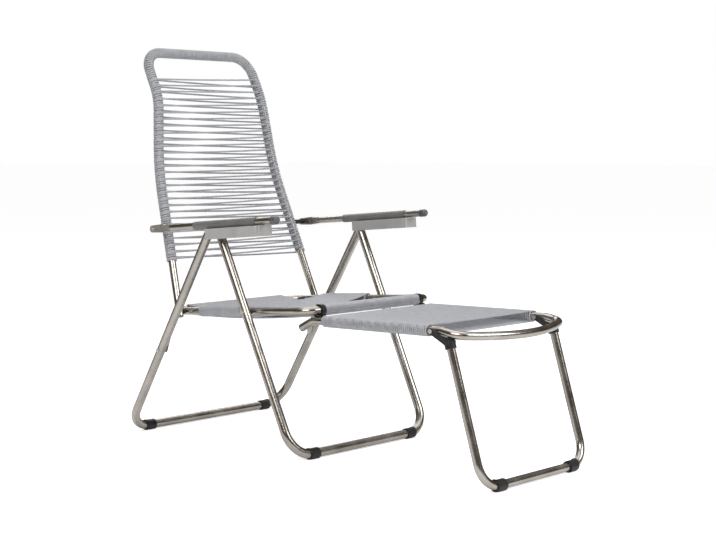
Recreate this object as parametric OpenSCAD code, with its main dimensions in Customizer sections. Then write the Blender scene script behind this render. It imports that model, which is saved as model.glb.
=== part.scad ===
// Folding relax chair: two U legs, cord-wound seat and back, armrests with a recline rack
// and a hook-on footrest with its own folding leg. Millimetres.
// X is the width, the sitter faces -Y, +Z is up. The origin is on the floor, at the middle
// of the chair's length. Places are worked out from the rear leg's foot bar, then shifted.

/* [Tubes and cord] */
// Diameter of the leg tubes
leg_tube_d = 25; // [22:0.5:27]
// Diameter of the backrest tube
back_tube_d = 21; // [18:0.5:23]
// Diameter of the seat frame tube
seat_tube_d = 22; // [19:0.5:24]
// Diameter of the footrest frame and footrest leg tubes
rest_tube_d = 22; // [19:0.5:23]
// Diameter of the armrest tubes
arm_tube_d = 20; // [18:0.5:22]
// Wall of every tube
tube_wall = 1.5; // [1:0.1:2.5]
// Diameter of the wound plastic cord
cord_d = 4.5; // [3.5:0.1:5.5]

/* [Legs] */
// Width of the rear leg between its tube centres
rear_leg_w = 612; // [560:2:680]
// Width of the front leg's foot bar between its tube centres
front_foot_w = 540; // [520:2:556]
// Distance between the foot bars of the two legs
leg_spread = 652; // [615:2:680]
// Place of the pin that joins the two legs, as a share of the way from the rear to the front foot bar
apex_share = 0.5652; // [0.555:0.001:0.575]
// Distance from that pin to the centre line of each leg, measured level
leg_miss = 7.06; // [5:0.1:9]
// Height of the pin that joins the two legs
apex_h = 602; // [585:1:612]
// Bend radius of the leg corners
leg_bend_r = 72; // [55:1:80]
// Gap between the rear and the front leg tubes, side by side
leg_gap = 2; // [1.5:0.1:4]
// Length of a foot clip
foot_len = 34; // [30:1:50]
// Thickness of a foot clip under the tube
foot_t = 2; // [1.5:0.1:4]

/* [Seat] */
// Height of the pivot between the seat and the front leg
seat_pivot_h = 390; // [380:1:400]
// Rise of the seat towards the front, degrees
seat_tilt = 4.2; // [2:0.1:7]
// Distance from the seat pivot forward to the front bar
seat_front = 209; // [190:1:230]
// Distance from the seat pivot back to the rear bar
seat_back = 344; // [330:1:360]
// Bend radius of the front corners
seat_front_bend = 40; // [30:1:48]
// Bend radius of the rear corners
seat_rear_bend = 55; // [40:1:60]
// Length of the cord winding on a side tube
seat_side_wrap = 188; // [150:1:200]
// Sag of the side-to-side cords at the middle
seat_cross_sag = 18; // [12:1:18]
// Sag of the front-to-back cords at the middle
seat_long_sag = 32; // [32:1:40]

/* [Backrest] */
// Distance from the seat pivot back to the backrest pivot
back_pivot_back = 282; // [272:1:292]
// Lean of the lower backrest from upright, degrees
back_low_lean = 19.3; // [17:0.1:22]
// Length of the lower backrest, pivot to first bend
back_low_len = 425; // [410:1:440]
// Lean of the middle backrest from upright, degrees
back_mid_lean = 7.1; // [5:0.1:10]
// Length of the middle backrest
back_mid_len = 213; // [200:1:230]
// Lean of the head part from upright, degrees
back_head_lean = 26.8; // [22:0.2:32]
// Length of the head part, up to the top bar
back_head_len = 150; // [140:1:160]
// Width between the tube centres at the first bend
back_mid_w = 458; // [445:1:470]
// Width between the tube centres at the top
back_top_w = 410; // [390:1:430]
// Bend radius of the top corners
back_corner_r = 62; // [45:1:70]
// Height of the lowest cord above the backrest pivot, along the tube
back_wrap_start = 150; // [135:1:165]
// Spacing of the cord rows
back_row_pitch = 20; // [18:0.5:26]

/* [Armrests] */
// Distance from the backrest pivot up to the armrest pivot
arm_pivot_up = 248; // [240:1:256]
// Height of the armrest tube's centre over the leg pin
arm_over_apex = 22.5; // [22.5:0.1:26]
// Length of the armrest in front of the leg pin
arm_front_len = 253; // [235:1:270]
// Outer diameter of the armrest sleeve
sleeve_d = 24; // [23:0.2:25]
// Length of the rack housing
box_len = 218; // [208:1:226]
// Depth of the rack housing below the tube's centre
box_depth = 39.5; // [36:0.5:44]
// Distance from the rear end of the housing to the leg pin
box_rear = 13; // [12:0.5:24]

/* [Footrest] */
// Width between the centres of the side tubes
rest_w = 426; // [410:2:436]
// Depth of the side tubes below the seat's front bar, centre to centre
rest_drop = 27; // [26:0.5:32]
// Rise of the side tubes towards the front, degrees
rest_tilt = 1.1; // [0:0.1:2]
// Dip of the front bow below level, degrees
rest_dip_angle = 8.5; // [0:0.5:12]
// Distance from the seat's front bar to the leg rivet
rest_len = 409; // [390:1:430]
// Distance from the leg rivet forward to the front of the bow
rest_bow_ahead = 127; // [122:1:135]
// Bend radius of the front corners
rest_corner_r = 42; // [35:1:48]
// Angle at which the bow meets the corners, degrees
rest_bow_angle = 26; // [20:0.5:30]
// Length of the cord winding on a side tube
rest_wrap_len = 364; // [340:1:368]
// Spacing of the footrest cords
rest_row_pitch = 9.2; // [8:0.1:14]
// Distance from the leg rivet forward to the foot bar
rest_foot_ahead = 156; // [140:1:170]
// Distance from the rivet to the leg tube's centre line
rest_leg_offset = 39; // [37:0.5:44]
// Bend radius of the footrest leg corners
rest_leg_bend = 60; // [45:1:66]

/* [Fasteners and plates] */
// Diameter of the pivot bolts
bolt_d = 8; // [6:0.5:8]
// Thickness of a bolt head
head_t = 2.6; // [2:0.1:2.8]
// Diameter of a bolt head
head_d = 12; // [11:0.5:13]
// Thickness of the steel link between the seat hinge and the rear leg
link_t = 2.5; // [2:0.1:3]
// Width of the steel link
link_w = 16; // [14:0.5:18]
// Drop from the backrest pivot to the link's lower rivet
link_drop = 110.3; // [101:0.5:119]

/* [Hidden] */
$fn = 48;

// Play between pieces that move on each other
play = 0.3;
// Radial play of a bolt in its bore
bore_play = 0.05;
// Overrun of cuts
over = 1;
// Growth of a tube where it is bent, and how far its straight parts reach into the bends
swell = 0.05;
lap = 0.5;
// Colours as the photograph shows them
metal = [0.72, 0.69, 0.65];
cord_grey = [0.68, 0.68, 0.71];
pale_plastic = [0.76, 0.75, 0.75];
cap_grey = [0.45, 0.45, 0.48];
black_plastic = [0.06, 0.06, 0.06];
X = [1, 0, 0];
SIDES = [-1, 1];

// Radii and clearances
leg_r = leg_tube_d / 2;
back_r = back_tube_d / 2;
seat_r = seat_tube_d / 2;
rest_r = rest_tube_d / 2;
arm_r = arm_tube_d / 2;
bolt_r = bolt_d / 2;
bore_r = bolt_r + bore_play;
wrap_skin = 0.1;
strand_r = cord_d / 2 - swell;
back_wrap_r = back_r + wrap_skin + cord_d;
seat_wrap_r = seat_r + wrap_skin + cord_d;
rest_wrap_r = rest_r + wrap_skin + cord_d;
strand_sides = 8;

// Places across the chair, from the outside in
rear_leg_x = rear_leg_w / 2;
front_foot_x = front_foot_w / 2;
front_leg_x = rear_leg_x - leg_tube_d - leg_gap;
link_room = 2.6;
link_out_x = rear_leg_x - leg_r - link_room;
link_in_x = link_out_x - link_t;
link_play = 0.4;
hinge_gap = 0.9;
back_pivot_x = link_in_x - link_play - head_t - hinge_gap - back_r;
washer_t = 7.4;
seat_x = back_pivot_x - back_r - hinge_gap - washer_t - seat_r;
channel_x = (rear_leg_x + front_leg_x) / 2;
arm_shift = 5.5;
arm_x = channel_x + arm_shift;
rest_x = rest_w / 2;

// Feet and legs
foot_axis_h = leg_r + foot_t;
foot_r = leg_r + foot_t + foot_t / 2;
rear_foot_y = 0;
front_foot_y = rear_foot_y - leg_spread;
apex_y = rear_foot_y - apex_share * leg_spread;
apex = [0, apex_y, apex_h];
rear_lean = atan((rear_foot_y - apex_y - leg_miss) / (apex_h - foot_axis_h));
front_lean = atan((apex_y - leg_miss - front_foot_y) / (apex_h - foot_axis_h));
function rear_line_y(z) = rear_foot_y - (z - foot_axis_h) * tan(rear_lean);
function front_line_y(z) = front_foot_y + (z - foot_axis_h) * tan(front_lean);
rear_up = [0, -sin(rear_lean), cos(rear_lean)];
front_up = [0, sin(front_lean), cos(front_lean)];
foot_lap = 15;
eye_r = 8.5;
eye_t = 14;
neck_t = 13.6;
neck_half = 7;
leg_top_drop = 9;
neck_sink = 4;
end_wall = 2;
roller_r = 7;

leg_run = norm([front_foot_y - apex_y, apex_h - foot_axis_h]);
front_taper = (front_leg_x - front_foot_x) / (leg_run - leg_top_drop);
front_foot_up = unit(front_up + X * front_taper);

// Seat frame, in a plane that rises towards the front
seat_pivot = [0, front_line_y(seat_pivot_h), seat_pivot_h];
seat_pivot_x = front_leg_x - front_taper * norm(apex - seat_pivot);
seat_mid = (seat_back - seat_front) / 2;
seat_half = (seat_back + seat_front) / 2;
seat_bar_end = seat_x - seat_front_bend;
bar_wrap_gap = 15.5;
// Rise of the seat's cords over their winding
web_rise = 0.6;
seat_bar_wrap = seat_bar_end - bar_wrap_gap;
// Distance from the seat pivot back to the middle of the side windings
seat_side_mid = 122;
function on_seat(back, rise) = seat_pivot
  + back * [0, cos(seat_tilt), -sin(seat_tilt)] + rise * [0, sin(seat_tilt), cos(seat_tilt)];
back_pivot = on_seat(back_pivot_back, 0);
front_bar = on_seat(-seat_front, 0);

// Backrest points at the pivot, the two bends and the top bar
function lean_step(len, lean) = len * [0, sin(lean), cos(lean)];
back_1 = back_pivot + lean_step(back_low_len, back_low_lean);
back_2 = back_1 + lean_step(back_mid_len, back_mid_lean);
back_3 = back_2 + lean_step(back_head_len, back_head_lean);
back_end_drop = 13;
low_taper = (back_pivot_x - back_mid_w / 2) / back_low_len;
back_0 = back_pivot - lean_step(back_end_drop, back_low_lean);
back_0_x = back_pivot_x + back_end_drop * low_taper;
back_low_bend = 736;
back_high_bend = 217;
function back_side(s) = [
  X * s * back_0_x + back_0, X * s * back_mid_w / 2 + back_1,
  X * s * back_top_w / 2 + back_2, X * s * back_top_w / 2 + back_3];
back_path = concat(back_side(1), [for (i = [3:-1:0]) back_side(-1)[i]]);
back_bends = [0, back_low_bend, back_high_bend, back_corner_r,
  back_corner_r, back_high_bend, back_low_bend, 0];

// Armrests, in a frame at their pivot with the tube along -Y
arm_pivot = back_pivot + lean_step(arm_pivot_up, back_low_lean);
arm_pivot_x = back_pivot_x - arm_pivot_up * low_taper;
arm_reach = norm(apex - arm_pivot);
apex_s = sqrt(arm_reach * arm_reach - arm_over_apex * arm_over_apex);
arm_tilt = atan2(apex_h - arm_pivot[2], arm_pivot[1] - apex_y) + asin(arm_over_apex / arm_reach);
flat_t = 11;
flat_h = 24;
flat_len = 46;
flat_blend = 34;
sleeve_back = 70;
sleeve_ahead = 179;
box_start = apex_s - box_rear;
box_wall = 3;
box_side_play = 1;
channel_w = 2 * leg_tube_d + leg_gap + 2 * box_side_play;
box_w = channel_w + 2 * box_wall;
box_corner = 12;
rack_tip = arm_over_apex - roller_r - play;
eye_clear = 0.8;
channel_top = arm_over_apex - eye_r - eye_clear;
box_top = channel_top - box_wall + play;
rack_w = 12;
rack_notches = 5;
rack_notch_depth = 1.5;
rack_end_gap = 14;
rack_travel = 152;
cap_len = 14;
cap_wall = 1;

// Footrest, hung on the seat's front bar
rest_z = front_bar[2] - rest_drop;
rest_slope = tan(rest_tilt);
function rest_point(x, y) = [x, y, rest_z + (front_bar[1] - y) * rest_slope];
rest_rivet = rest_point(0, front_bar[1] - rest_len);
hook_start = 9;
hook_end_back = 54;
hook_end_drop = 23;
hook_bend = 30;
bow_half = rest_x - rest_corner_r * (1 - sin(rest_bow_angle));
bow_r = bow_half / sin(rest_bow_angle);
bow_y = rest_rivet[1] - rest_bow_ahead;
bow_depth = bow_r * (1 - cos(rest_bow_angle));
corner_y = bow_y + bow_depth + rest_corner_r * cos(rest_bow_angle);
bow_lap = asin(lap / bow_r);
dip_ahead = 26;
dip_bend = 60;
rest_wrap_gap = 13;
rest_wrap_end = rest_rivet[1] + rest_wrap_gap;
clip_w = 14.5;
clip_t = 4;
clip_gap = 0.6;
clip_in_x = seat_bar_wrap + clip_gap;
clip_jaw = 10;
rest_foot_y = rest_rivet[1] - rest_foot_ahead;
rest_fall = norm([rest_foot_ahead, rest_rivet[2] - foot_axis_h]);
rest_leg_lean = atan2(rest_foot_ahead, rest_rivet[2] - foot_axis_h) - asin(rest_leg_offset / rest_fall);
rest_up = [0, sin(rest_leg_lean), cos(rest_leg_lean)];
rest_leg_run = sqrt(rest_fall * rest_fall - rest_leg_offset * rest_leg_offset);
collar_low = 54;
collar_high = 34;
collar_wall = 3.4;
cheek_t = 4;
cheek_r = 7.5;
rest_leg_top = 24;

// The chair's length, and the shift that centres it on the origin
front_extent = rest_foot_y - foot_r;
back_extent = back_3[1] + back_wrap_r;
mid_y = (front_extent + back_extent) / 2;

function unit(v) = v / norm(v);
function axes(x, y, z, o) =
  [[x[0], y[0], z[0], o[0]], [x[1], y[1], z[1], o[1]], [x[2], y[2], z[2], o[2]], [0, 0, 0, 1]];
function turn(p, i, n) = acos(unit(p[i] - p[(i + n - 1) % n]) * unit(p[(i + 1) % n] - p[i]));
function tangent(p, b, i, n) = b[i] == 0 ? 0 : b[i] * tan(turn(p, i, n) / 2);

// Moves its children from the rear leg's foot bar to the origin
module placed() translate([0, -mid_y, 0]) children();

// A straight round bar from a to b
module bar(a, b, r) {
  d = unit(b - a);
  side = abs(d[0]) > 0.9 ? [0, 0, 1] : X;
  y = unit(cross(d, side));
  multmatrix(axes(cross(y, d), y, d, a)) cylinder(h = norm(b - a), r = r);
}

// A round bar along points, bent with the given radii, open or as a closed ring
module bent_bar(p, b, r, ring = false) {
  n = len(p);
  for (i = [0:n - (ring ? 1 : 2)]) {
    j = (i + 1) % n;
    d = unit(p[j] - p[i]);
    bar(p[i] + d * (tangent(p, b, i, n) - (b[i] > 0 ? lap : 0)),
      p[j] - d * (tangent(p, b, j, n) - (b[j] > 0 ? lap : 0)), r);
  }
  for (i = [0:n - 1]) if (b[i] > 0) {
    d1 = unit(p[i] - p[(i + n - 1) % n]);
    d2 = unit(p[(i + 1) % n] - p[i]);
    inward = unit(d2 - (d2 * d1) * d1);
    centre = p[i] - d1 * tangent(p, b, i, n) + inward * b[i];
    multmatrix(axes(-inward, d1, cross(-inward, d1), centre))
      rotate_extrude(angle = turn(p, i, n)) translate([b[i], 0]) circle(r = r + swell);
  }
}

// The same path with both ends drawn in by a distance
function drawn_in(p, d) = [for (i = [0:len(p) - 1])
  i == 0 ? p[0] + d * unit(p[1] - p[0])
  : i == len(p) - 1 ? p[i] + d * unit(p[i - 1] - p[i]) : p[i]];

// A bent tube: its bore stops a wall short of both ends, or runs out of them
module bent_tube(p, b, r, wall = -over, ring = false) difference() {
  bent_bar(p, b, r, ring);
  bent_bar(ring ? p : drawn_in(p, wall), b, r - tube_wall, ring);
}

// A cylinder along X, from x to x + len, at a point of the side view
module pin(x, at, len, r) translate([x, at[1], at[2]]) rotate([0, 90, 0]) cylinder(h = len, r = r);

// A ring along X
module bush(x, at, len, r, hole) difference() {
  pin(x, at, len, r);
  pin(x - over, at, len + 2 * over, hole);
}

// A bolt along X with a flat head at each end, heads inside its length
module bolt(x, at, len, r, head_r, head) {
  pin(x, at, len, r);
  pin(x, at, head, head_r);
  pin(x + len - head, at, head, head_r);
}

// A flat bar of thickness t along X, round at both ends, between two points of the side view
module strap(x, t, a, b, ra, rb) {
  d = norm(b - a);
  u = (b - a) / d;
  f = acos((ra - rb) / d);
  function rim(c, r, k) = [c[1], c[2]] + r * [u[1] * cos(f) - k * u[2] * sin(f),
    u[2] * cos(f) + k * u[1] * sin(f)];
  multmatrix(axes([0, 1, 0], [0, 0, 1], X, [x, 0, 0])) linear_extrude(t) {
    translate([a[1], a[2]]) circle(r = ra);
    translate([b[1], b[2]]) circle(r = rb);
    polygon([rim(a, ra, 1), rim(a, ra, -1), rim(b, rb, -1), rim(b, rb, 1)]);
  }
}

module rounded_rect(w, l, r) {
  square([w - 2 * r, l], center = true);
  square([w, l - 2 * r], center = true);
  for (x = SIDES, y = SIDES) translate([x * (w / 2 - r), y * (l / 2 - r)]) circle(r = r);
}

// Mirrors a left-hand piece to the side given
module on_side(s) mirror([s < 0 ? 1 : 0, 0, 0]) children();

// A U leg of two straight tubes and a foot bar, with a flattened eye at each top
module u_leg(x, foot_x, foot_y, up) {
  foot = [0, foot_y, foot_axis_h];
  near_apex = foot + up * ((apex - foot) * up);
  top = near_apex - up * leg_top_drop;
  difference() {
    union() {
      bent_tube([X * x + top, X * foot_x + foot, -X * foot_x + foot, -X * x + top],
        [0, leg_bend_r, leg_bend_r, 0], leg_r, end_wall);
      for (s = SIDES) {
        pin(s * x - eye_t / 2, apex, eye_t, eye_r);
        multmatrix(axes(X, cross(up, X), up, X * s * x + apex))
          translate([-neck_t / 2, -neck_half, -leg_top_drop - neck_sink])
            cube([neck_t, 2 * neck_half, leg_top_drop + neck_sink]);
      }
    }
    for (s = SIDES) pin(s * x - leg_r - over, apex, leg_tube_d + 2 * over, bore_r);
  }
}

// Clip-on feet that lap the corners of a foot bar, cut flat on the floor
module feet(x, foot_y, up, bend, tube_r) for (s = SIDES) on_side(s) {
  foot = [0, foot_y, foot_axis_h];
  path = [foot, X * x + foot, X * x + foot + 2 * bend * up];
  difference() {
    intersection() {
      bent_bar(path, [0, bend, 0], foot_r);
      translate([x - bend + foot_lap - foot_len, foot_y - foot_len, 0])
        cube([foot_len, 2 * foot_len, 2 * foot_len]);
    }
    bent_bar(path, [0, bend, 0], tube_r + wrap_skin);
  }
}

module front_leg() color(metal) placed() difference() {
  u_leg(front_leg_x, front_foot_x, front_foot_y, front_up);
  for (s = SIDES) pin(s * front_leg_x - leg_tube_d, seat_pivot, 2 * leg_tube_d, bore_r);
}

module front_feet() color(black_plastic) placed()
  feet(front_foot_x, front_foot_y, front_foot_up, leg_bend_r, leg_r);

module apex_pins() color(metal) placed() for (s = SIDES) {
  reach = channel_w / 2 - 2 * box_side_play;
  bolt(s * channel_x - reach, apex, 2 * reach, bolt_r, eye_r - 2 * box_side_play, head_t);
}

module apex_rollers() color(black_plastic) placed() for (s = SIDES) {
  room = rear_leg_x - front_leg_x - eye_t - 2 * play;
  bush(s * channel_x - room / 2, apex, room, roller_r, bore_r);
}

link_h = back_pivot[2] - link_drop;
link_rivet = [0, rear_line_y(link_h), link_h];

module rear_leg() color(metal) placed() difference() {
  u_leg(rear_leg_x, rear_leg_x, rear_foot_y, rear_up);
  for (s = SIDES) pin(s * rear_leg_x - leg_tube_d, link_rivet, 2 * leg_tube_d, bore_r);
}

module rear_feet() color(black_plastic) placed() feet(rear_leg_x, rear_foot_y, rear_up, leg_bend_r, leg_r);

module link_rivets() color(metal) placed() for (s = SIDES) {
  start = link_in_x - link_play;
  on_side(s) pin(start, link_rivet, rear_leg_x + leg_r - start, bolt_r);
  on_side(s) pin(rear_leg_x + leg_r, link_rivet, head_t, head_d / 2);
}

// Flat steel link from the seat hinge to the rear leg, with the head of its upper rivet
module link(s) color(metal) placed() on_side(s) {
  difference() {
    strap(link_in_x, link_t, back_pivot, link_rivet, link_w / 2, link_w / 2);
    pin(link_in_x - over, link_rivet, link_t + 2 * over, bore_r);
  }
  pin(link_out_x, back_pivot, link_room / 2, head_d / 2);
}

// Seat frame: a ring of tube with a bolt hole in each side for the front leg and the backrest
module in_seat_plane() translate(seat_pivot) rotate([-seat_tilt, 0, 0]) children();

module seat_frame() color(metal) placed() difference() {
  in_seat_plane() bent_tube([[seat_x, seat_back, 0], [-seat_x, seat_back, 0],
    [-seat_x, -seat_front, 0], [seat_x, -seat_front, 0]],
    [seat_rear_bend, seat_rear_bend, seat_front_bend, seat_front_bend], seat_r, ring = true);
  for (s = SIDES, at = [seat_pivot, back_pivot]) pin(s * seat_x - seat_tube_d, at, 2 * seat_tube_d, bore_r);
}

module seat_pivot_bolts() color(metal) placed() for (s = SIDES) on_side(s) {
  start = seat_x - seat_r - head_t;
  end = seat_pivot_x + leg_r + play;
  pin(start, seat_pivot, end - start, bolt_r);
  pin(start, seat_pivot, head_t, head_d / 2);
  pin(end, seat_pivot, head_t, head_d / 2);
}

module seat_pivot_spacers() color(black_plastic) placed() for (s = SIDES) on_side(s)
  bush(seat_x + seat_r, seat_pivot, seat_pivot_x - leg_r - seat_x - seat_r - 2 * play,
    head_d / 2 + over, bore_r);

// A sagging band of cords: an arc of given sag over a span, thick as the cord, wide along +Z
module sagging_band(half_span, sag, width) {
  r = (half_span * half_span + sag * sag) / (2 * sag);
  linear_extrude(width) intersection() {
    translate([0, r - sag]) difference() {
      circle(r = r + cord_d / 2, $fn = 360);
      circle(r = r - cord_d / 2, $fn = 360);
    }
    translate([-half_span, -sag - cord_d]) square([2 * half_span, sag + 2 * cord_d]);
  }
}

cord_lift = seat_r + wrap_skin + cord_d / 2 + web_rise;

module seat_cross_cords() color(cord_grey) placed() in_seat_plane()
  translate([0, seat_side_mid + seat_side_wrap / 2, cord_lift]) rotate([90, 0, 0])
    sagging_band(seat_x, seat_cross_sag, seat_side_wrap);

module seat_long_cords() color(cord_grey) placed() in_seat_plane()
  translate([-seat_bar_wrap, seat_mid, cord_lift]) rotate([90, 0, 90])
    sagging_band(seat_half, seat_long_sag, 2 * seat_bar_wrap);

module sleeve(a, b, r, hole) difference() {
  bar(a, b, r);
  bar(a - over * unit(b - a), b + over * unit(b - a), hole);
}

module seat_side_wraps() color(cord_grey) placed() in_seat_plane() for (s = SIDES)
  sleeve([s * seat_x, seat_side_mid - seat_side_wrap / 2, 0],
    [s * seat_x, seat_side_mid + seat_side_wrap / 2, 0], seat_wrap_r, seat_r + wrap_skin);

module seat_bar_wraps() color(cord_grey) placed() in_seat_plane() for (y = [-seat_front, seat_back])
  sleeve([-seat_bar_wrap, y, 0], [seat_bar_wrap, y, 0], seat_wrap_r, seat_r + wrap_skin);

module back_pivot_bolts() color(metal) placed() for (s = SIDES) on_side(s) {
  start = seat_x - seat_r - head_t;
  end = link_in_x - link_play;
  pin(start, back_pivot, end - start, bolt_r);
  pin(start, back_pivot, head_t, head_d / 2);
  pin(end - head_t, back_pivot, head_t, head_d / 2);
}

module back_pivot_washers() color(black_plastic) placed() for (s = SIDES) on_side(s)
  bush(seat_x + seat_r, back_pivot, washer_t, head_d / 2 + over, bore_r);

module back_frame() color(metal) placed() difference() {
  bent_tube(back_path, back_bends, back_r);
  for (s = SIDES) {
    on_side(s) pin(back_pivot_x - back_tube_d, back_pivot, 2 * back_tube_d, bore_r);
    on_side(s) pin(arm_pivot_x - back_tube_d, arm_pivot, 2 * back_tube_d, bore_r);
  }
}

module back_tube_plugs() color(black_plastic) placed() for (s = SIDES) {
  end = X * s * back_0_x + back_0;
  down = unit(end - (X * s * back_mid_w / 2 + back_1));
  bar(end, end + down * foot_t, back_r);
}

// Cord winding on the backrest tube, from the lowest cord up and round the top bar
wrap_from = back_wrap_start / back_low_len;
function back_wrap_end(s) = (1 - wrap_from) * (X * s * back_pivot_x + back_pivot)
  + wrap_from * (X * s * back_mid_w / 2 + back_1);
back_wrap_path = [for (i = [0:7]) i == 0 ? back_wrap_end(1) : i == 7 ? back_wrap_end(-1) : back_path[i]];

module back_cord_wrap() color(cord_grey) placed() difference() {
  bent_bar(back_wrap_path, back_bends, back_wrap_r);
  bent_bar(drawn_in(back_wrap_path, -over), back_bends, back_r + wrap_skin);
  for (s = SIDES) on_side(s) pin(arm_pivot_x - back_tube_d, arm_pivot, 2 * back_tube_d, bolt_r + play);
}

// Place of the left tube's centre, and its lean, at a length along the backrest from its pivot
back_lengths = [back_low_len, back_low_len + back_mid_len, back_low_len + back_mid_len + back_head_len];
back_leans = [back_low_lean, back_mid_lean, back_head_lean];
back_reach = [for (i = [1:2]) tangent(back_path, back_bends, i, 8)];
function back_bend_at(i, f) = let (
    p = back_path, d1 = unit(p[i] - p[i - 1]), d2 = unit(p[i + 1] - p[i]),
    m = unit(d2 - (d2 * d1) * d1), a = turn(p, i, 8) * f)
  p[i] - d1 * back_reach[i - 1] + back_bends[i] * (sin(a) * d1 + (1 - cos(a)) * m);
function bend_share(i, l) = (l - back_lengths[i - 1] + back_reach[i - 1]) / (2 * back_reach[i - 1]);
function back_bend_of(l) = [for (i = [1:2]) if (bend_share(i, l) > 0 && bend_share(i, l) < 1) i];
function back_at(l) = let (
    k = l < back_lengths[0] ? 0 : l < back_lengths[1] ? 1 : 2,
    from = k == 0 ? X * back_pivot_x + back_pivot : back_path[k],
    start = k == 0 ? 0 : back_lengths[k - 1],
    i = back_bend_of(l))
  len(i) > 0 ? back_bend_at(i[0], bend_share(i[0], l))
  : from + (back_path[k + 1] - from) * (l - start) / (back_lengths[k] - start);
function back_lean_at(l) = let (
    i = back_bend_of(l), k = l < back_lengths[0] ? 0 : l < back_lengths[1] ? 1 : 2)
  len(i) > 0 ? back_leans[i[0] - 1] + (back_leans[i[0]] - back_leans[i[0] - 1]) * bend_share(i[0], l)
  : back_leans[k];
back_rows = floor((back_low_len + back_mid_len + back_head_len - back_corner_r
  - back_wrap_start) / back_row_pitch);

// Cords between the backrest tubes, on one face, each a little out of level
module back_cords(face) color(cord_grey) placed() for (k = [0:back_rows - 1]) {
  l = back_wrap_start + cord_d + k * back_row_pitch;
  skew = face * back_row_pitch / 4;
  a = back_at(l + skew + cord_d);
  b = back_at(l - skew + cord_d);
  lean = back_lean_at(l);
  out = face * (back_r + wrap_skin + cord_d / 2) * [0, -cos(lean), sin(lean)];
  bar(a + out, [-b[0], b[1], b[2]] + out, strand_r, $fn = strand_sides);
}

// Frame of a left armrest: tube along -Y from its pivot
module at_arm(s) placed() on_side(s) translate([arm_x, arm_pivot[1], arm_pivot[2]])
  rotate([-arm_tilt, 0, 0]) children();

module arm_bolt(s) color(metal) placed() on_side(s) {
  start = arm_pivot_x - back_wrap_r - hinge_gap - head_t;
  end = arm_x + flat_t / 2 + play + head_t;
  pin(start, arm_pivot, end - start, bolt_r);
  pin(start, arm_pivot, head_t, head_d / 2);
  pin(end - head_t, arm_pivot, head_t, head_d / 2);
}

module arm_bush(s) color(black_plastic) placed() on_side(s) {
  start = arm_pivot_x + back_wrap_r + hinge_gap;
  bush(start, arm_pivot, arm_x - flat_t / 2 - play - start, roller_r, bore_r);
}

// Armrest tube: round, pressed flat at the rear for its pivot
module arm_tube(s) color(metal) at_arm(s) difference() {
  union() {
    bar([0, -flat_len - flat_blend, 0], [0, -apex_s - arm_front_len, 0], arm_r);
    intersection() {
      bar([0, -flat_len + over, 0], [0, -flat_len - flat_blend - over, 0], flat_h / 2 - swell);
      mirror([0, 1, 0]) linear_extrude(flat_h, center = true) polygon([
        [-flat_t / 2, flat_len - over], [flat_t / 2, flat_len - over],
        [arm_r - over, flat_len + flat_blend + over], [over - arm_r, flat_len + flat_blend + over]]);
      rotate([0, -90, 0]) mirror([0, 1, 0]) linear_extrude(arm_tube_d, center = true) polygon([
        [-flat_h / 2, flat_len - over], [flat_h / 2, flat_len - over],
        [arm_r - over, flat_len + flat_blend + over], [over - arm_r, flat_len + flat_blend + over]]);
    }
    strap(-flat_t / 2, flat_t, [0, 0, 0], [0, -flat_len, 0], flat_h / 2 - 2 * over, flat_h / 2);
  }
  bar([0, -flat_len - flat_blend - end_wall, 0], [0, -apex_s - arm_front_len - over, 0],
    arm_r - tube_wall);
  pin(-flat_t, [0, 0, 0], 2 * flat_t, bore_r);
}

module arm_sleeve(s) color(pale_plastic) at_arm(s)
  sleeve([0, -apex_s + sleeve_back, 0], [0, -apex_s - sleeve_ahead, 0], sleeve_d / 2, arm_r + wrap_skin);

// Rack housing: a channel open below and at the rear, under the sleeve
module arm_housing(s) color(pale_plastic) at_arm(s) difference() {
  translate([-arm_shift, -box_start - box_len / 2, -box_depth])
    linear_extrude(box_depth - box_top) rounded_rect(box_w, box_len, box_corner);
  translate([-arm_shift - channel_w / 2, -box_start - box_len + box_wall, -box_depth - over])
    cube([channel_w, box_len, box_depth - channel_top + over]);
  bar([0, 0, 0], [0, -box_start - box_len - over, 0], sleeve_d / 2 + wrap_skin);
}

module arm_rack(s) color(black_plastic) at_arm(s) difference() {
  run = box_len - 2 * box_wall - rack_end_gap;
  translate([-arm_shift - rack_w / 2, -box_start - box_wall - run, -rack_tip])
    cube([rack_w, run, rack_tip - channel_top]);
  for (k = [1:rack_notches - 1])
    pin(-arm_shift - rack_w, [0, -apex_s - k * rack_travel / (rack_notches - 1),
      -rack_tip - roller_r + rack_notch_depth], 2 * rack_w, roller_r);
}

module arm_cap(s) color(cap_grey) at_arm(s) {
  end = [0, -apex_s - arm_front_len, 0];
  difference() {
    union() {
      bar(end + [0, cap_len, 0], end, arm_r + cap_wall);
      translate(end) sphere(r = arm_r + cap_wall);
    }
    bar(end + [0, cap_len + over, 0], end, arm_r + wrap_skin);
  }
}

// Footrest frame: two hooked side tubes joined by a front bow that dips a little
rest_knee = rest_point(0, front_bar[1] + hook_start);
rest_hook = [0, front_bar[1] + hook_end_back, rest_z - hook_end_drop];
rest_dip = rest_point(0, rest_rivet[1] - dip_ahead);

module in_dip_plane() translate(rest_dip) rotate([rest_dip_angle, 0, 0]) children();

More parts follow.
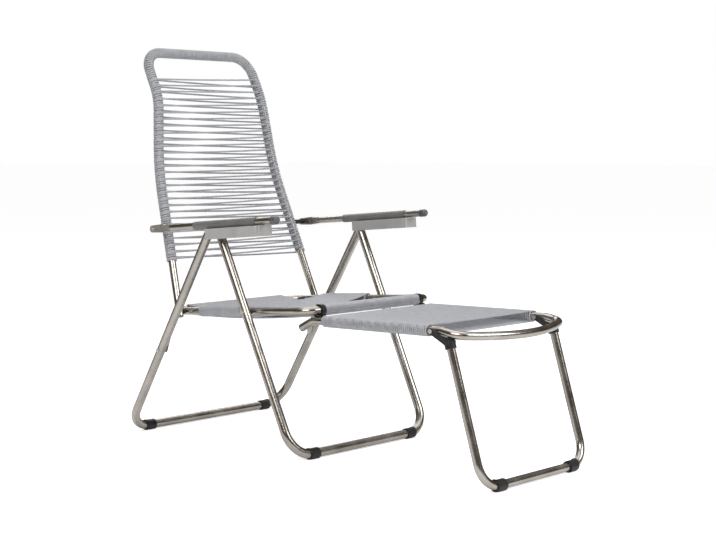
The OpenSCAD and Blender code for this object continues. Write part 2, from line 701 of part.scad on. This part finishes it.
module rest_bar(r, inset) {
  bow_back = corner_y - rest_dip[1];
  for (s = SIDES) {
    side = X * s * rest_x;
    bent_bar(drawn_in([side + rest_hook, side + rest_knee, side + rest_dip,
      side + rest_dip + bow_back * [0, cos(rest_dip_angle), sin(rest_dip_angle)]], inset),
      [0, hook_bend, dip_bend, 0], r);
    in_dip_plane() translate([s * (rest_x - rest_corner_r), bow_back, 0])
      rotate(s > 0 ? rest_bow_angle - 90 : 180)
        rotate_extrude(angle = 90 - rest_bow_angle) translate([rest_corner_r, 0]) circle(r = r + swell);
  }
  in_dip_plane() translate([0, bow_y + bow_r - rest_dip[1], 0]) rotate(-90 - rest_bow_angle - bow_lap)
    rotate_extrude(angle = 2 * (rest_bow_angle + bow_lap)) translate([bow_r, 0]) circle(r = r);
}

module rest_frame() color(metal) placed() difference() {
  rest_bar(rest_r, -lap);
  rest_bar(rest_r - tube_wall, -lap);
  for (s = SIDES) {
    pin(s * rest_x - rest_tube_d, rest_rivet, 2 * rest_tube_d, bore_r);
    out = unit(rest_hook - rest_knee);
    bar(X * s * rest_x + rest_hook - out * over, X * s * rest_x + rest_hook + out * over, rest_r + over);
  }
}

module rest_tube_plugs() color(black_plastic) placed() for (s = SIDES) {
  out = unit(rest_hook - rest_knee);
  start = X * s * rest_x + rest_hook - out * over;
  bar(start, start + out * foot_t, rest_r);
}

module rest_side_wraps() color(cord_grey) placed() for (s = SIDES)
  sleeve(rest_point(s * rest_x, rest_wrap_end + rest_wrap_len), rest_point(s * rest_x, rest_wrap_end),
    rest_wrap_r, rest_r + wrap_skin);

rest_rows = floor((rest_wrap_len - 2 * cord_d) / rest_row_pitch);

module rest_cords(face) color(cord_grey) placed() for (k = [0:rest_rows]) {
  y = rest_wrap_end + cord_d + k * rest_row_pitch;
  rise = [0, 0, face * (rest_r + wrap_skin + cord_d / 2)];
  bar(rest_point(-rest_x, y) + rise, rest_point(rest_x, y) + rise, strand_r, $fn = strand_sides);
}

// Clips that hook the footrest over the seat's front bar, open towards the rear
module rest_clips() color(black_plastic) placed() for (s = SIDES) on_side(s) {
  jaw_r = seat_r + play;
  difference() {
    union() {
      pin(clip_in_x, front_bar, clip_w, jaw_r + clip_t);
      translate([clip_in_x, front_bar[1], front_bar[2] - jaw_r - clip_t])
        cube([clip_w, clip_jaw, 2 * (jaw_r + clip_t)]);
      translate([clip_in_x, front_bar[1] - jaw_r, rest_z])
        cube([rest_x - clip_in_x, jaw_r + clip_jaw, rest_drop - jaw_r]);
    }
    pin(clip_in_x - over, front_bar, rest_w, jaw_r);
    translate([clip_in_x - over, front_bar[1], front_bar[2] - jaw_r])
      cube([rest_w, clip_jaw + over, 2 * jaw_r]);
    bar(rest_point(rest_x, rest_knee[1] + hook_end_back), rest_point(rest_x, rest_rivet[1]),
      rest_r + wrap_skin);
  }
}

module rest_rivets() color(metal) placed() for (s = SIDES) {
  reach = rest_r + 2 * play + cheek_t + head_t;
  bolt(s * rest_x - reach, rest_rivet, 2 * reach, bolt_r, head_d / 2, head_t);
}

// Elbow brackets: two cheeks on the rivet and a collar for the leg tube
function leg_axis(up_from_foot) = [0, rest_foot_y, foot_axis_h] + rest_up * up_from_foot;
collar_top = leg_axis(rest_leg_run - collar_high);
collar_end = leg_axis(rest_leg_run - collar_low);

module rest_brackets() color(black_plastic) placed() for (s = SIDES) difference() {
  union() {
    for (k = SIDES) strap(s * rest_x + k * (rest_r + play + cheek_t / 2) - cheek_t / 2, cheek_t,
      rest_rivet, collar_top - rest_up * collar_wall, cheek_r, cheek_r);
    bar(X * s * rest_x + collar_top, X * s * rest_x + collar_end, rest_r + collar_wall);
  }
  bar(X * s * rest_x + collar_top - rest_up * end_wall, X * s * rest_x + collar_end - rest_up * over,
    rest_r + wrap_skin);
  pin(s * rest_x - rest_tube_d, rest_rivet, 2 * rest_tube_d, bore_r);
}

module rest_leg() color(metal) placed() {
  top = collar_top - rest_up * (end_wall + wrap_skin);
  foot = [0, rest_foot_y, foot_axis_h];
  bent_tube([X * rest_x + top, X * rest_x + foot, -X * rest_x + foot, -X * rest_x + top],
    [0, rest_leg_bend, rest_leg_bend, 0], rest_r);
}

module rest_feet() color(black_plastic) placed() feet(rest_x, rest_foot_y, rest_up, rest_leg_bend, rest_r);

front_leg();
front_feet();
apex_pins();
apex_rollers();
rear_leg();
rear_feet();
link_rivets();
link(1);  // link_left
link(-1);  // link_right
seat_frame();
seat_pivot_bolts();
seat_pivot_spacers();
seat_cross_cords();
seat_long_cords();
seat_side_wraps();
seat_bar_wraps();
back_pivot_bolts();
back_pivot_washers();
back_frame();
back_tube_plugs();
back_cord_wrap();
back_cords(1);  // back_front_cords
back_cords(-1);  // back_rear_cords
arm_bolt(1);  // arm_bolt_left
arm_bolt(-1);  // arm_bolt_right
arm_bush(1);  // arm_bush_left
arm_bush(-1);  // arm_bush_right
arm_tube(1);  // arm_tube_left
arm_tube(-1);  // arm_tube_right
arm_sleeve(1);  // arm_sleeve_left
arm_sleeve(-1);  // arm_sleeve_right
arm_housing(1);  // arm_housing_left
arm_housing(-1);  // arm_housing_right
arm_rack(1);  // arm_rack_left
arm_rack(-1);  // arm_rack_right
arm_cap(1);  // arm_cap_left
arm_cap(-1);  // arm_cap_right
rest_frame();
rest_tube_plugs();
rest_side_wraps();
rest_cords(1);  // rest_upper_cords
rest_cords(-1);  // rest_lower_cords
rest_clips();
rest_rivets();
rest_brackets();
rest_leg();
rest_feet();
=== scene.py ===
"""Dresses the folding relax chair: cord windings and webs on its tubes, materials, floor, light, camera.

Lengths in the tables below are millimetres, with Y measured from the rear leg's foot bar as in the
part's source, and mm() turns them into the frame's metres.
"""
import math
import random

import bpy
from mathutils import Matrix, Vector


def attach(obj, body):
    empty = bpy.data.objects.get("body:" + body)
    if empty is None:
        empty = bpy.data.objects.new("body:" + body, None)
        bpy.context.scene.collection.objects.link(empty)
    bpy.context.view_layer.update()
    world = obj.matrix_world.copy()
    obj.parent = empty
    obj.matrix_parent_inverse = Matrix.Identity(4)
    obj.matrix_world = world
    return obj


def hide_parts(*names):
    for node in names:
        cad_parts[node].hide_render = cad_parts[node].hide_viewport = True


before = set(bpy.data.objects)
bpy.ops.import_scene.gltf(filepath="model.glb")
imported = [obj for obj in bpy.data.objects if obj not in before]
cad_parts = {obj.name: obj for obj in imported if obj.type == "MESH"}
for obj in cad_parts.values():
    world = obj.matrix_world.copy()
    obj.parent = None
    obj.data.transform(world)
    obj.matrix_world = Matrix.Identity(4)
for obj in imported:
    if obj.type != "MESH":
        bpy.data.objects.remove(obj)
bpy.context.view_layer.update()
rng = random.Random(11)

# Where the part's source puts things
MID_Y = -604.405
CORD = 4.5
SKIN = 0.1
CORD_HALF = CORD / 2000
BACK_R, SEAT_R, REST_R = 10.5, 11.0, 11.0
SEAT_PIVOT = Vector((0, -475.32, 390))
SEAT_TILT = math.radians(4.2)
SEAT_X = 244.2
SEAT_BARS = (-209.0, 344.0)
SEAT_BAR_HALF = 188.7
SEAT_SIDE_FROM, SEAT_SIDE_LEN = 28.0, 188.0
SEAT_LONG_SAG = 32.0
BACK_PIVOT = Vector((0, -194.078, 369.347))
BACK_PIVOT_X = 274.0
BACK_POINTS = ((229.0, -53.610, 770.462), (205.0, -27.282, 981.829), (205.0, 40.349, 1115.72))
BACK_BENDS = (736.0, 217.0, 62.0)
BACK_LOW_LEN = 425.0
BACK_START, BACK_ROW, BACK_ROWS = 150.0, 20.0, 28
BACK_HEAD_LEAN = math.radians(26.8)
REST_X = 213.0
REST_FROM, REST_LEN, REST_ROW, REST_ROWS = -1079.76, 364.0, 9.2, 39
REST_Z, REST_SLOPE, FRONT_BAR_Y = 378.307, 0.019201, -683.759

# Corners of a swept cord's section
SIDES = 8
# Turns of each winding, half a turn's width over its pitch, radii of the strands in metres, and how
# far a strand goes round the tube at each end
TURNS_PER_ROW = 3
SIDE_TURNS, BAR_TURNS = 40, 78
REST_TURN = 6.9
TURN_SHARE, REST_TURN_SHARE = 0.44, 0.4
STRAND_R = CORD_HALF + 0.0001
BACK_STRAND_R = CORD_HALF + 0.0003
BACK_HUG, WEB_HUG = math.radians(150), math.radians(70)


def mm(p):
    """A place of the part's source, in the frame's metres."""
    return Vector((p[0], p[1] - MID_Y, p[2])) / 1000


def seat_at(x, back, rise):
    """A place on the tilted seat: back from its pivot, and rise over its tubes' middles."""
    c, s = math.cos(SEAT_TILT), math.sin(SEAT_TILT)
    return mm(SEAT_PIVOT + Vector((x, back * c + rise * s, -back * s + rise * c)))


def rest_at(x, y, rise):
    """A place on the footrest's slope, at a rise over its tubes' middles."""
    return mm((x, y, REST_Z + (FRONT_BAR_Y - y) * REST_SLOPE + rise))


# Meshes swept along paths
class Sweep:
    """Gathers swept cords in one mesh."""

    def __init__(self):
        self.verts, self.faces = [], []

    def rings(self, rings):
        """Joins rings of equal length into a skin, closed at both ends."""
        base, n = len(self.verts), len(rings[0])
        for ring in rings:
            self.verts += ring
        for i in range(len(rings) - 1):
            a, b = base + i * n, base + (i + 1) * n
            for k in range(n):
                k2 = (k + 1) % n
                self.faces.append((a + k, a + k2, b + k2, b + k))
        last = base + (len(rings) - 1) * n
        self.faces.append(tuple(base + k for k in reversed(range(n))))
        self.faces.append(tuple(last + k for k in range(n)))

    def cord(self, points, radius):
        """A round cord along points, in metres."""
        up = Vector((0, 0, 1))
        rings = []
        for i, p in enumerate(points):
            a, b = points[max(i - 1, 0)], points[min(i + 1, len(points) - 1)]
            t = (b - a).normalized()
            u = (up - t * up.dot(t)).normalized()
            v = t.cross(u)
            up = u
            turn = [2 * math.pi * k / SIDES for k in range(SIDES)]
            rings.append([p + (u * math.cos(f) + v * math.sin(f)) * radius for f in turn])
        self.rings(rings)

    def coil(self, at, length, pitch, radius, wide, per_turn):
        """A winding on a path: at(s) gives its place, tangent and zero direction."""
        steps = int(round(length / pitch * per_turn))
        rings = []
        for i in range(steps + 1):
            s = length * i / steps
            p, t, n = at(s)
            b = t.cross(n)
            f = 2 * math.pi * s / pitch
            out = n * math.cos(f) + b * math.sin(f)
            centre = p + out * radius
            ring = []
            for k in range(SIDES):
                g = 2 * math.pi * (k + 0.5) / SIDES
                ring.append(centre + out * CORD_HALF * math.cos(g) + t * wide * math.sin(g))
            rings.append(ring)
        self.rings(rings)

    def piece(self, name, material, body, *replaced):
        """Turns the cords into an object that rides on a body in place of CAD nodes."""
        mesh = bpy.data.meshes.new(name)
        mesh.from_pydata([tuple(v) for v in self.verts], [], self.faces)
        mesh.polygons.foreach_set("use_smooth", [True] * len(mesh.polygons))
        mesh.materials.append(material)
        mesh.update()
        obj = bpy.data.objects.new(name, mesh)
        bpy.context.scene.collection.objects.link(obj)
        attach(obj, body)
        if replaced:
            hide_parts(*replaced)
        return obj


# Materials
def nodes_of(name):
    """A new material, its node tree and its principled shader."""
    mat = bpy.data.materials.new(name)
    mat.use_nodes = True
    tree = mat.node_tree
    tree.nodes.clear()
    out = tree.nodes.new("ShaderNodeOutputMaterial")
    shader = tree.nodes.new("ShaderNodeBsdfPrincipled")
    tree.links.new(shader.outputs[0], out.inputs[0])
    return mat, tree, shader


def noise(tree, scale, detail=4.0, stretch=(1, 1, 1)):
    """Noise over the object's own coordinates."""
    coords = tree.nodes.new("ShaderNodeTexCoord")
    mapping = tree.nodes.new("ShaderNodeMapping")
    mapping.inputs["Scale"].default_value = stretch
    tex = tree.nodes.new("ShaderNodeTexNoise")
    tex.inputs["Scale"].default_value = scale
    tex.inputs["Detail"].default_value = detail
    tex.inputs["Roughness"].default_value = 0.55
    tree.links.new(coords.outputs["Object"], mapping.inputs[0])
    tree.links.new(mapping.outputs[0], tex.inputs["Vector"])
    return tex.outputs["Fac"]


def ramp(tree, value, stops):
    """Colours a value by stops of place and colour."""
    node = tree.nodes.new("ShaderNodeValToRGB")
    elements = node.color_ramp.elements
    while len(elements) < len(stops):
        elements.new(0.5)
    for e, (at, colour) in zip(elements, stops):
        e.position = at
        e.color = (*colour, 1)
    tree.links.new(value, node.inputs[0])
    return node.outputs[0]


def spread(tree, value, low, high):
    """Stretches the middle of a noise to the range from low to high."""
    node = tree.nodes.new("ShaderNodeMapRange")
    node.inputs["From Min"].default_value = 0.3
    node.inputs["From Max"].default_value = 0.7
    node.inputs["To Min"].default_value = low
    node.inputs["To Max"].default_value = high
    tree.links.new(value, node.inputs[0])
    return node.outputs[0]


def bump(tree, shader, value, height, strength):
    """Lets a value lift the surface, by a height in metres."""
    node = tree.nodes.new("ShaderNodeBump")
    node.inputs["Distance"].default_value = height
    node.inputs["Strength"].default_value = strength
    tree.links.new(value, node.inputs["Height"])
    tree.links.new(node.outputs[0], shader.inputs["Normal"])


def steel(name, dark, light, rough):
    """Satin stainless tube: warm, finely brushed, with faint smears and scratches."""
    mat, tree, shader = nodes_of(name)
    shader.inputs["Metallic"].default_value = 1.0
    smear = noise(tree, 14, 6)
    tree.links.new(ramp(tree, smear, [(0.3, dark), (0.7, light)]), shader.inputs["Base Color"])
    grain = noise(tree, 900, 3, (1, 0.25, 0.25))
    tree.links.new(spread(tree, smear, rough - 0.05, rough + 0.07), shader.inputs["Roughness"])
    bump(tree, shader, grain, 0.00004, 0.35)
    return mat


def plastic(name, dark, light, rough, grain_scale, height, coat=0.0):
    """Moulded plastic with a fine grain and an uneven tone."""
    mat, tree, shader = nodes_of(name)
    tone = noise(tree, 22, 5)
    tree.links.new(ramp(tree, tone, [(0.3, dark), (0.7, light)]), shader.inputs["Base Color"])
    tree.links.new(spread(tree, tone, rough - 0.05, rough + 0.08), shader.inputs["Roughness"])
    shader.inputs["Coat Weight"].default_value = coat
    bump(tree, shader, noise(tree, grain_scale, 4), height, 0.6)
    return mat


def wound_cord(name, dark, light):
    """Smooth extruded plastic cord, a little lilac, with faint drawn lines and dulled patches."""
    mat, tree, shader = nodes_of(name)
    tone = noise(tree, 60, 5)
    tree.links.new(ramp(tree, tone, [(0.32, dark), (0.68, light)]), shader.inputs["Base Color"])
    tree.links.new(spread(tree, tone, 0.36, 0.52), shader.inputs["Roughness"])
    bump(tree, shader, noise(tree, 700, 3), 0.00006, 0.5)
    return mat


TUBE = steel("tube_steel", (0.38, 0.35, 0.315), (0.55, 0.52, 0.48), 0.22)
BRIGHT = steel("rivet_steel", (0.55, 0.53, 0.50), (0.72, 0.70, 0.67), 0.2)
CORD_MAT = wound_cord("cord_plastic", (0.36, 0.37, 0.396), (0.45, 0.461, 0.491))
PALE = plastic("housing_plastic", (0.40, 0.395, 0.39), (0.47, 0.465, 0.46), 0.42, 1500, 0.00003)
# The arm sleeves are the housings' pale plastic; this darker copy of it is painted shade from below
SHADED_SLEEVE = plastic("sleeve_plastic_painted_shade", (0.16, 0.158, 0.156), (0.21, 0.207, 0.204), 0.38, 1500, 0.00003)
CAP = plastic("cap_plastic", (0.07, 0.07, 0.082), (0.11, 0.11, 0.122), 0.26, 1200, 0.00002, 0.3)
BLACK = plastic("foot_plastic", (0.006, 0.006, 0.0065), (0.016, 0.016, 0.017), 0.4, 900, 0.00005)

RIVETS = ("apex_pins", "link_rivets", "seat_pivot_bolts", "back_pivot_bolts", "rest_rivets",
          "arm_bolt_left", "arm_bolt_right")
for name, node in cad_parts.items():
    if name in RIVETS:
        mat = BRIGHT
    elif "cap" in name:
        mat = CAP
    elif "sleeve" in name:
        mat = SHADED_SLEEVE
    elif "housing" in name:
        mat = PALE
    elif any(w in name for w in ("feet", "roller", "spacer", "washer", "plug", "bush", "rack", "clip",
                                 "bracket")):
        mat = BLACK
    else:
        mat = TUBE
    node.data.materials.clear()
    node.data.materials.append(mat)


# The backrest's path: its left tube, the top bar and its right tube
def rounded(points, bends, step):
    """A polyline through points with arcs of the given radii, as places in millimetres."""
    path = [points[0]]
    for i in range(1, len(points) - 1):
        p, r = points[i], bends[i - 1]
        d1, d2 = (p - points[i - 1]).normalized(), (points[i + 1] - p).normalized()
        angle = d1.angle(d2)
        reach = r * math.tan(angle / 2)
        inward = (d2 - d1 * d1.dot(d2)).normalized()
        centre = p - d1 * reach + inward * r
        count = max(4, int(math.ceil(r * angle / step)))
        for k in range(count + 1):
            a = angle * k / count
            path.append(centre + (d1 * math.sin(a) - inward * math.cos(a)) * r)
    path.append(points[-1])
    return path


def back_ends(side):
    """One side of the backrest, from where its winding starts to the top corner."""
    top = [Vector((side * x, y, z)) for x, y, z in BACK_POINTS]
    foot = BACK_PIVOT + Vector((side * BACK_PIVOT_X, 0, 0))
    share = BACK_START / BACK_LOW_LEN
    return [foot.lerp(top[0], share)] + top


back_corners = back_ends(1) + list(reversed(back_ends(-1)))
back_radii = [*BACK_BENDS, *reversed(BACK_BENDS)]
back_path = rounded(back_corners, back_radii, 6.0)
back_sums = [0.0]
for a, b in zip(back_path, back_path[1:]):
    back_sums.append(back_sums[-1] + (b - a).length)
BACK_LENGTH = back_sums[-1]


def back_place(s):
    """Place in metres, tangent, and direction to the sitter's side, at a length along the path."""
    s = min(max(s, 0.0), BACK_LENGTH)
    lo, hi = 0, len(back_sums) - 1
    while hi - lo > 1:
        mid = (lo + hi) // 2
        if back_sums[mid] <= s:
            lo = mid
        else:
            hi = mid
    a, b = back_path[lo], back_path[lo + 1]
    f = (s - back_sums[lo]) / max(back_sums[lo + 1] - back_sums[lo], 1e-9)
    t = (b - a).normalized()
    p = a.lerp(b, f)
    lean = math.atan2(abs(t.y), abs(t.z)) if abs(t.x) < 0.6 else BACK_HEAD_LEAN
    n = Vector((0, -math.cos(lean), math.sin(lean)))
    n = (n - t * n.dot(t)).normalized()
    return mm(p), t, n


BACK_COIL = (BACK_R + SKIN + CORD / 2) / 1000
turn = BACK_LENGTH / round(BACK_LENGTH / (BACK_ROW / TURNS_PER_ROW))
wrap = Sweep()
wrap.coil(back_place, BACK_LENGTH, turn, BACK_COIL, turn * TURN_SHARE / 1000, per_turn=16)
wrap.piece("back_winding", CORD_MAT, "backrest", "back_cord_wrap")


def back_strands(face):
    """Strands across the back, on its front face (1) or its rear face (-1)."""
    sweep = Sweep()
    for k in range(BACK_ROWS):
        mid = 2 * CORD + k * BACK_ROW
        skew = face * BACK_ROW / 4 + rng.uniform(-1.2, 1.2)
        ends = []
        for s in (mid + skew, BACK_LENGTH - mid + skew):
            p, t, n = back_place(s)
            b = t.cross(n)
            arc = []
            for i in range(7):
                f = BACK_HUG * (1 - i / 6)
                out = n * (math.cos(f) * face) + b * math.sin(f)
                lift = BACK_COIL + 0.0003 * math.sin(math.pi * i / 6)
                arc.append(p + out * lift + t * (turn / 1000 * f / (2 * math.pi)))
            ends.append(arc)
        start, end = ends[0], list(reversed(ends[1]))
        drop = rng.uniform(0.0005, 0.003)
        line = []
        for i in range(1, 10):
            f = i / 10
            p = start[-1].lerp(end[0], f)
            line.append(p - Vector((0, 0, drop * 4 * f * (1 - f))))
        sweep.cord(start + line + end, BACK_STRAND_R)
    return sweep


back_strands(1).piece("back_front_strands", CORD_MAT, "backrest", "back_front_cords")
back_strands(-1).piece("back_rear_strands", CORD_MAT, "backrest", "back_rear_cords")


# The seat's windings and webs
COIL = (SEAT_R + SKIN + CORD / 2) / 1000
LIFT = SEAT_R + SKIN + CORD / 2


def arc_sag(x, half, sag):
    """Depth at x of an arc that sags between two edges, each half away."""
    r = (half * half + sag * sag) / (2 * sag)
    return sag - (r - math.sqrt(r * r - x * x))


def seat_long_drop(back):
    """Depth of the seat's front-to-back cords, at a distance behind the pivot."""
    mid = (SEAT_BARS[0] + SEAT_BARS[1]) / 2
    half = (SEAT_BARS[1] - SEAT_BARS[0]) / 2
    return arc_sag(min(abs(back - mid), half), half, SEAT_LONG_SAG)


def straight(start, end, length, zero):
    """The at(s) of a winding on a straight tube from start to end, with s up to length."""
    t = (end - start).normalized()
    return lambda s: (start.lerp(end, s / length), t, zero)


def tube_coil(sweep, start, end, length, pitch, share, radius, zero):
    """Winds a cord on a straight tube."""
    place = straight(start, end, length, zero)
    sweep.coil(place, length, pitch, radius, pitch * share / 1000, per_turn=18)


seat_up = (seat_at(0, 0, 1) - seat_at(0, 0, 0)).normalized()
side_pitch = SEAT_SIDE_LEN / SIDE_TURNS
sweep = Sweep()
for side in (-1, 1):
    start = seat_at(side * SEAT_X, SEAT_SIDE_FROM, 0)
    end = seat_at(side * SEAT_X, SEAT_SIDE_FROM + SEAT_SIDE_LEN, 0)
    tube_coil(sweep, start, end, SEAT_SIDE_LEN, side_pitch, TURN_SHARE, COIL, seat_up)
sweep.piece("seat_side_winding", CORD_MAT, "seat", "seat_side_wraps")

bar_pitch = 2 * SEAT_BAR_HALF / BAR_TURNS
sweep = Sweep()
for back in SEAT_BARS:
    start, end = seat_at(-SEAT_BAR_HALF, back, 0), seat_at(SEAT_BAR_HALF, back, 0)
    tube_coil(sweep, start, end, 2 * SEAT_BAR_HALF, bar_pitch, TURN_SHARE, COIL, seat_up)
sweep.piece("seat_bar_winding", CORD_MAT, "seat", "seat_bar_wraps")


def web_line(a_edge, b_edge, place, drop, over_top, count=22):
    """A cord from one tube to another: round the outside of each tube and sagging between them."""
    way = 1 if over_top else -1
    line = []
    half = (b_edge - a_edge) / 2
    mid = (a_edge + b_edge) / 2
    for i in range(5):
        f = WEB_HUG * (1 - i / 5)
        line.append(place(a_edge - LIFT * math.sin(f), way * LIFT * math.cos(f)))
    for i in range(count + 1):
        u = -1 + 2 * i / count
        depth = drop * (1 - u * u)
        line.append(place(mid + u * half, way * LIFT - depth))
    for i in range(1, 6):
        f = WEB_HUG * i / 5
        line.append(place(b_edge + LIFT * math.sin(f), way * LIFT * math.cos(f)))
    return line


sweep = Sweep()
for j in range(SIDE_TURNS):
    back = SEAT_SIDE_FROM + (j + 0.5) * side_pitch + rng.uniform(-0.25, 0.25)
    depth = seat_long_drop(back) - CORD - rng.uniform(0, 1.2)
    sweep.cord(web_line(-SEAT_X, SEAT_X, lambda u, r: seat_at(u, back, r), depth, True), STRAND_R)
    depth = seat_long_drop(back) - 2 * LIFT + 2.1 * CORD + rng.uniform(0, 1.2)
    low = back + side_pitch / 2
    sweep.cord(web_line(-SEAT_X, SEAT_X, lambda u, r: seat_at(u, low, r), max(depth, 2), False),
               STRAND_R)
sweep.piece("seat_cross_web", CORD_MAT, "seat", "seat_cross_cords")

sweep = Sweep()
for j in range(BAR_TURNS):
    x = -SEAT_BAR_HALF + (j + 0.5) * bar_pitch + rng.uniform(-0.25, 0.25)
    depth = SEAT_LONG_SAG - rng.uniform(0, 1.0)
    sweep.cord(web_line(*SEAT_BARS, lambda u, r: seat_at(x, u, r), depth, True), STRAND_R)
    x2 = x + bar_pitch / 2
    depth = SEAT_LONG_SAG - 2 * LIFT + 1.05 * CORD
    sweep.cord(web_line(*SEAT_BARS, lambda u, r: seat_at(x2, u, r), depth, False), STRAND_R)
sweep.piece("seat_long_web", CORD_MAT, "seat", "seat_long_cords")

# The footrest's windings and cords
REST_COIL = (REST_R + SKIN + CORD / 2) / 1000
rest_pitch = REST_LEN / round(REST_LEN / REST_TURN)
sweep = Sweep()
rest_up = Vector((1, 0, 0)).cross((rest_at(0, 1, 0) - rest_at(0, 0, 0)).normalized())
for side in (-1, 1):
    start = rest_at(side * REST_X, REST_FROM, 0)
    end = rest_at(side * REST_X, REST_FROM + REST_LEN, 0)
    tube_coil(sweep, start, end, REST_LEN, rest_pitch, REST_TURN_SHARE, REST_COIL, rest_up)
sweep.piece("rest_side_winding", CORD_MAT, "footrest", "rest_side_wraps")

for name, way, node in (("rest_upper_strands", 1, "rest_upper_cords"),
                        ("rest_lower_strands", -1, "rest_lower_cords")):
    sweep = Sweep()
    for k in range(REST_ROWS):
        y = REST_FROM + 1.5 * CORD + k * REST_ROW
        slant = way * REST_ROW / 4
        sag = rng.uniform(0.4, 1.6)
        line = web_line(-REST_X, REST_X, lambda u, r: rest_at(u, y + slant * u / REST_X, r), sag, way > 0,
                        12)
        sweep.cord(line, STRAND_R)
    sweep.piece(name, CORD_MAT, "footrest", node)

# Floor, light and camera
CAMERA_AT = Vector((-2.96083, -2.81423, 0.83356))
CAMERA_FACING = Vector((0.72600, 0.68273, -0.08246))
CAMERA_LENS, SENSOR_WIDTH = 74.04, 36.0
FLOOR_GLOW_SEEN, FLOOR_GLOW_ELSEWHERE = 0.62, 0.05
ROOM_LIGHT = 0.9

scene = bpy.context.scene
scene.view_settings.view_transform = "Standard"
floor_mesh = bpy.data.meshes.new("floor")
FAR = 60.0
floor_mesh.from_pydata([(-FAR, -FAR, 0), (FAR, -FAR, 0), (FAR, FAR, 0), (-FAR, FAR, 0)], [], [(0, 1, 2, 3)])
floor = bpy.data.objects.new("floor", floor_mesh)
scene.collection.objects.link(floor)
mat, tree, shader = nodes_of("pale_floor")
shader.inputs["Base Color"].default_value = (0.9, 0.9, 0.9, 1)
shader.inputs["Emission Color"].default_value = (1, 1, 1, 1)
seen = tree.nodes.new("ShaderNodeLightPath")
glow = tree.nodes.new("ShaderNodeMapRange")
glow.inputs["To Min"].default_value = FLOOR_GLOW_ELSEWHERE
glow.inputs["To Max"].default_value = FLOOR_GLOW_SEEN
tree.links.new(seen.outputs["Is Camera Ray"], glow.inputs[0])
tree.links.new(glow.outputs[0], shader.inputs["Emission Strength"])
shader.inputs["Roughness"].default_value = 0.9
shader.inputs["Specular IOR Level"].default_value = 0.1
floor_mesh.materials.append(mat)

world = bpy.data.worlds.new("studio")
scene.world = world
world.use_nodes = True
wt = world.node_tree
wt.nodes.clear()
w_out = wt.nodes.new("ShaderNodeOutputWorld")
room = wt.nodes.new("ShaderNodeBackground")
plate = wt.nodes.new("ShaderNodeBackground")
mix = wt.nodes.new("ShaderNodeMixShader")
path = wt.nodes.new("ShaderNodeLightPath")
coords = wt.nodes.new("ShaderNodeTexCoord")
split = wt.nodes.new("ShaderNodeSeparateXYZ")
wt.links.new(coords.outputs["Generated"], split.inputs[0])
height = wt.nodes.new("ShaderNodeMapRange")
height.inputs["From Min"].default_value = -1
height.inputs["From Max"].default_value = 1
wt.links.new(split.outputs["Z"], height.inputs[0])
tint = ramp(wt, height.outputs[0], [(0.0, (0.3, 0.27, 0.24)), (0.5, (0.07, 0.057, 0.044)),
                                    (0.8, (0.15, 0.13, 0.11)), (0.93, (0.85, 0.86, 0.88))])
wt.links.new(tint, room.inputs[0])
room.inputs[1].default_value = ROOM_LIGHT
plate.inputs[0].default_value = (1, 1, 1, 1)
plate.inputs[1].default_value = 1.0
wt.links.new(path.outputs["Is Camera Ray"], mix.inputs[0])
wt.links.new(room.outputs[0], mix.inputs[1])
wt.links.new(plate.outputs[0], mix.inputs[2])
wt.links.new(mix.outputs[0], w_out.inputs[0])


def softbox(name, at, towards, size, power, colour=(1, 1, 1)):
    """An area light at a place, facing another."""
    light = bpy.data.lights.new(name, "AREA")
    light.shape = "RECTANGLE"
    light.size, light.size_y = size
    light.energy = power
    light.color = colour
    obj = bpy.data.objects.new(name, light)
    obj.location = at
    obj.rotation_mode = "QUATERNION"
    obj.rotation_quaternion = (Vector(towards) - Vector(at)).to_track_quat("-Z", "Y")
    scene.collection.objects.link(obj)


softbox("key", (-2.8, -1.4, 2.4), (0, 0, 0.5), (2.4, 1.6), 54, (1.0, 0.985, 0.97))
softbox("fill", (1.2, -3.4, 2.4), (0, 0, 0.5), (2.5, 1.5), 62)
softbox("top", (0.2, 0.4, 4.2), (0, 0, 0.4), (4.0, 4.0), 50)
softbox("back", (2.0, 3.0, 2.6), (0, 0, 0.5), (3.0, 1.5), 30)

cam_data = bpy.data.cameras.new("camera")
cam_data.sensor_width = SENSOR_WIDTH
cam_data.lens = CAMERA_LENS
cam_data.clip_start, cam_data.clip_end = 0.05, 300
cam = bpy.data.objects.new("camera", cam_data)
forward = CAMERA_FACING.normalized()
right = forward.cross(Vector((0, 0, 1))).normalized()
up = right.cross(forward)
axes = Matrix((right, up, -forward)).transposed()
cam.rotation_mode = "QUATERNION"
cam.rotation_quaternion = axes.to_quaternion()
cam.location = CAMERA_AT
scene.collection.objects.link(cam)
scene.camera = cam
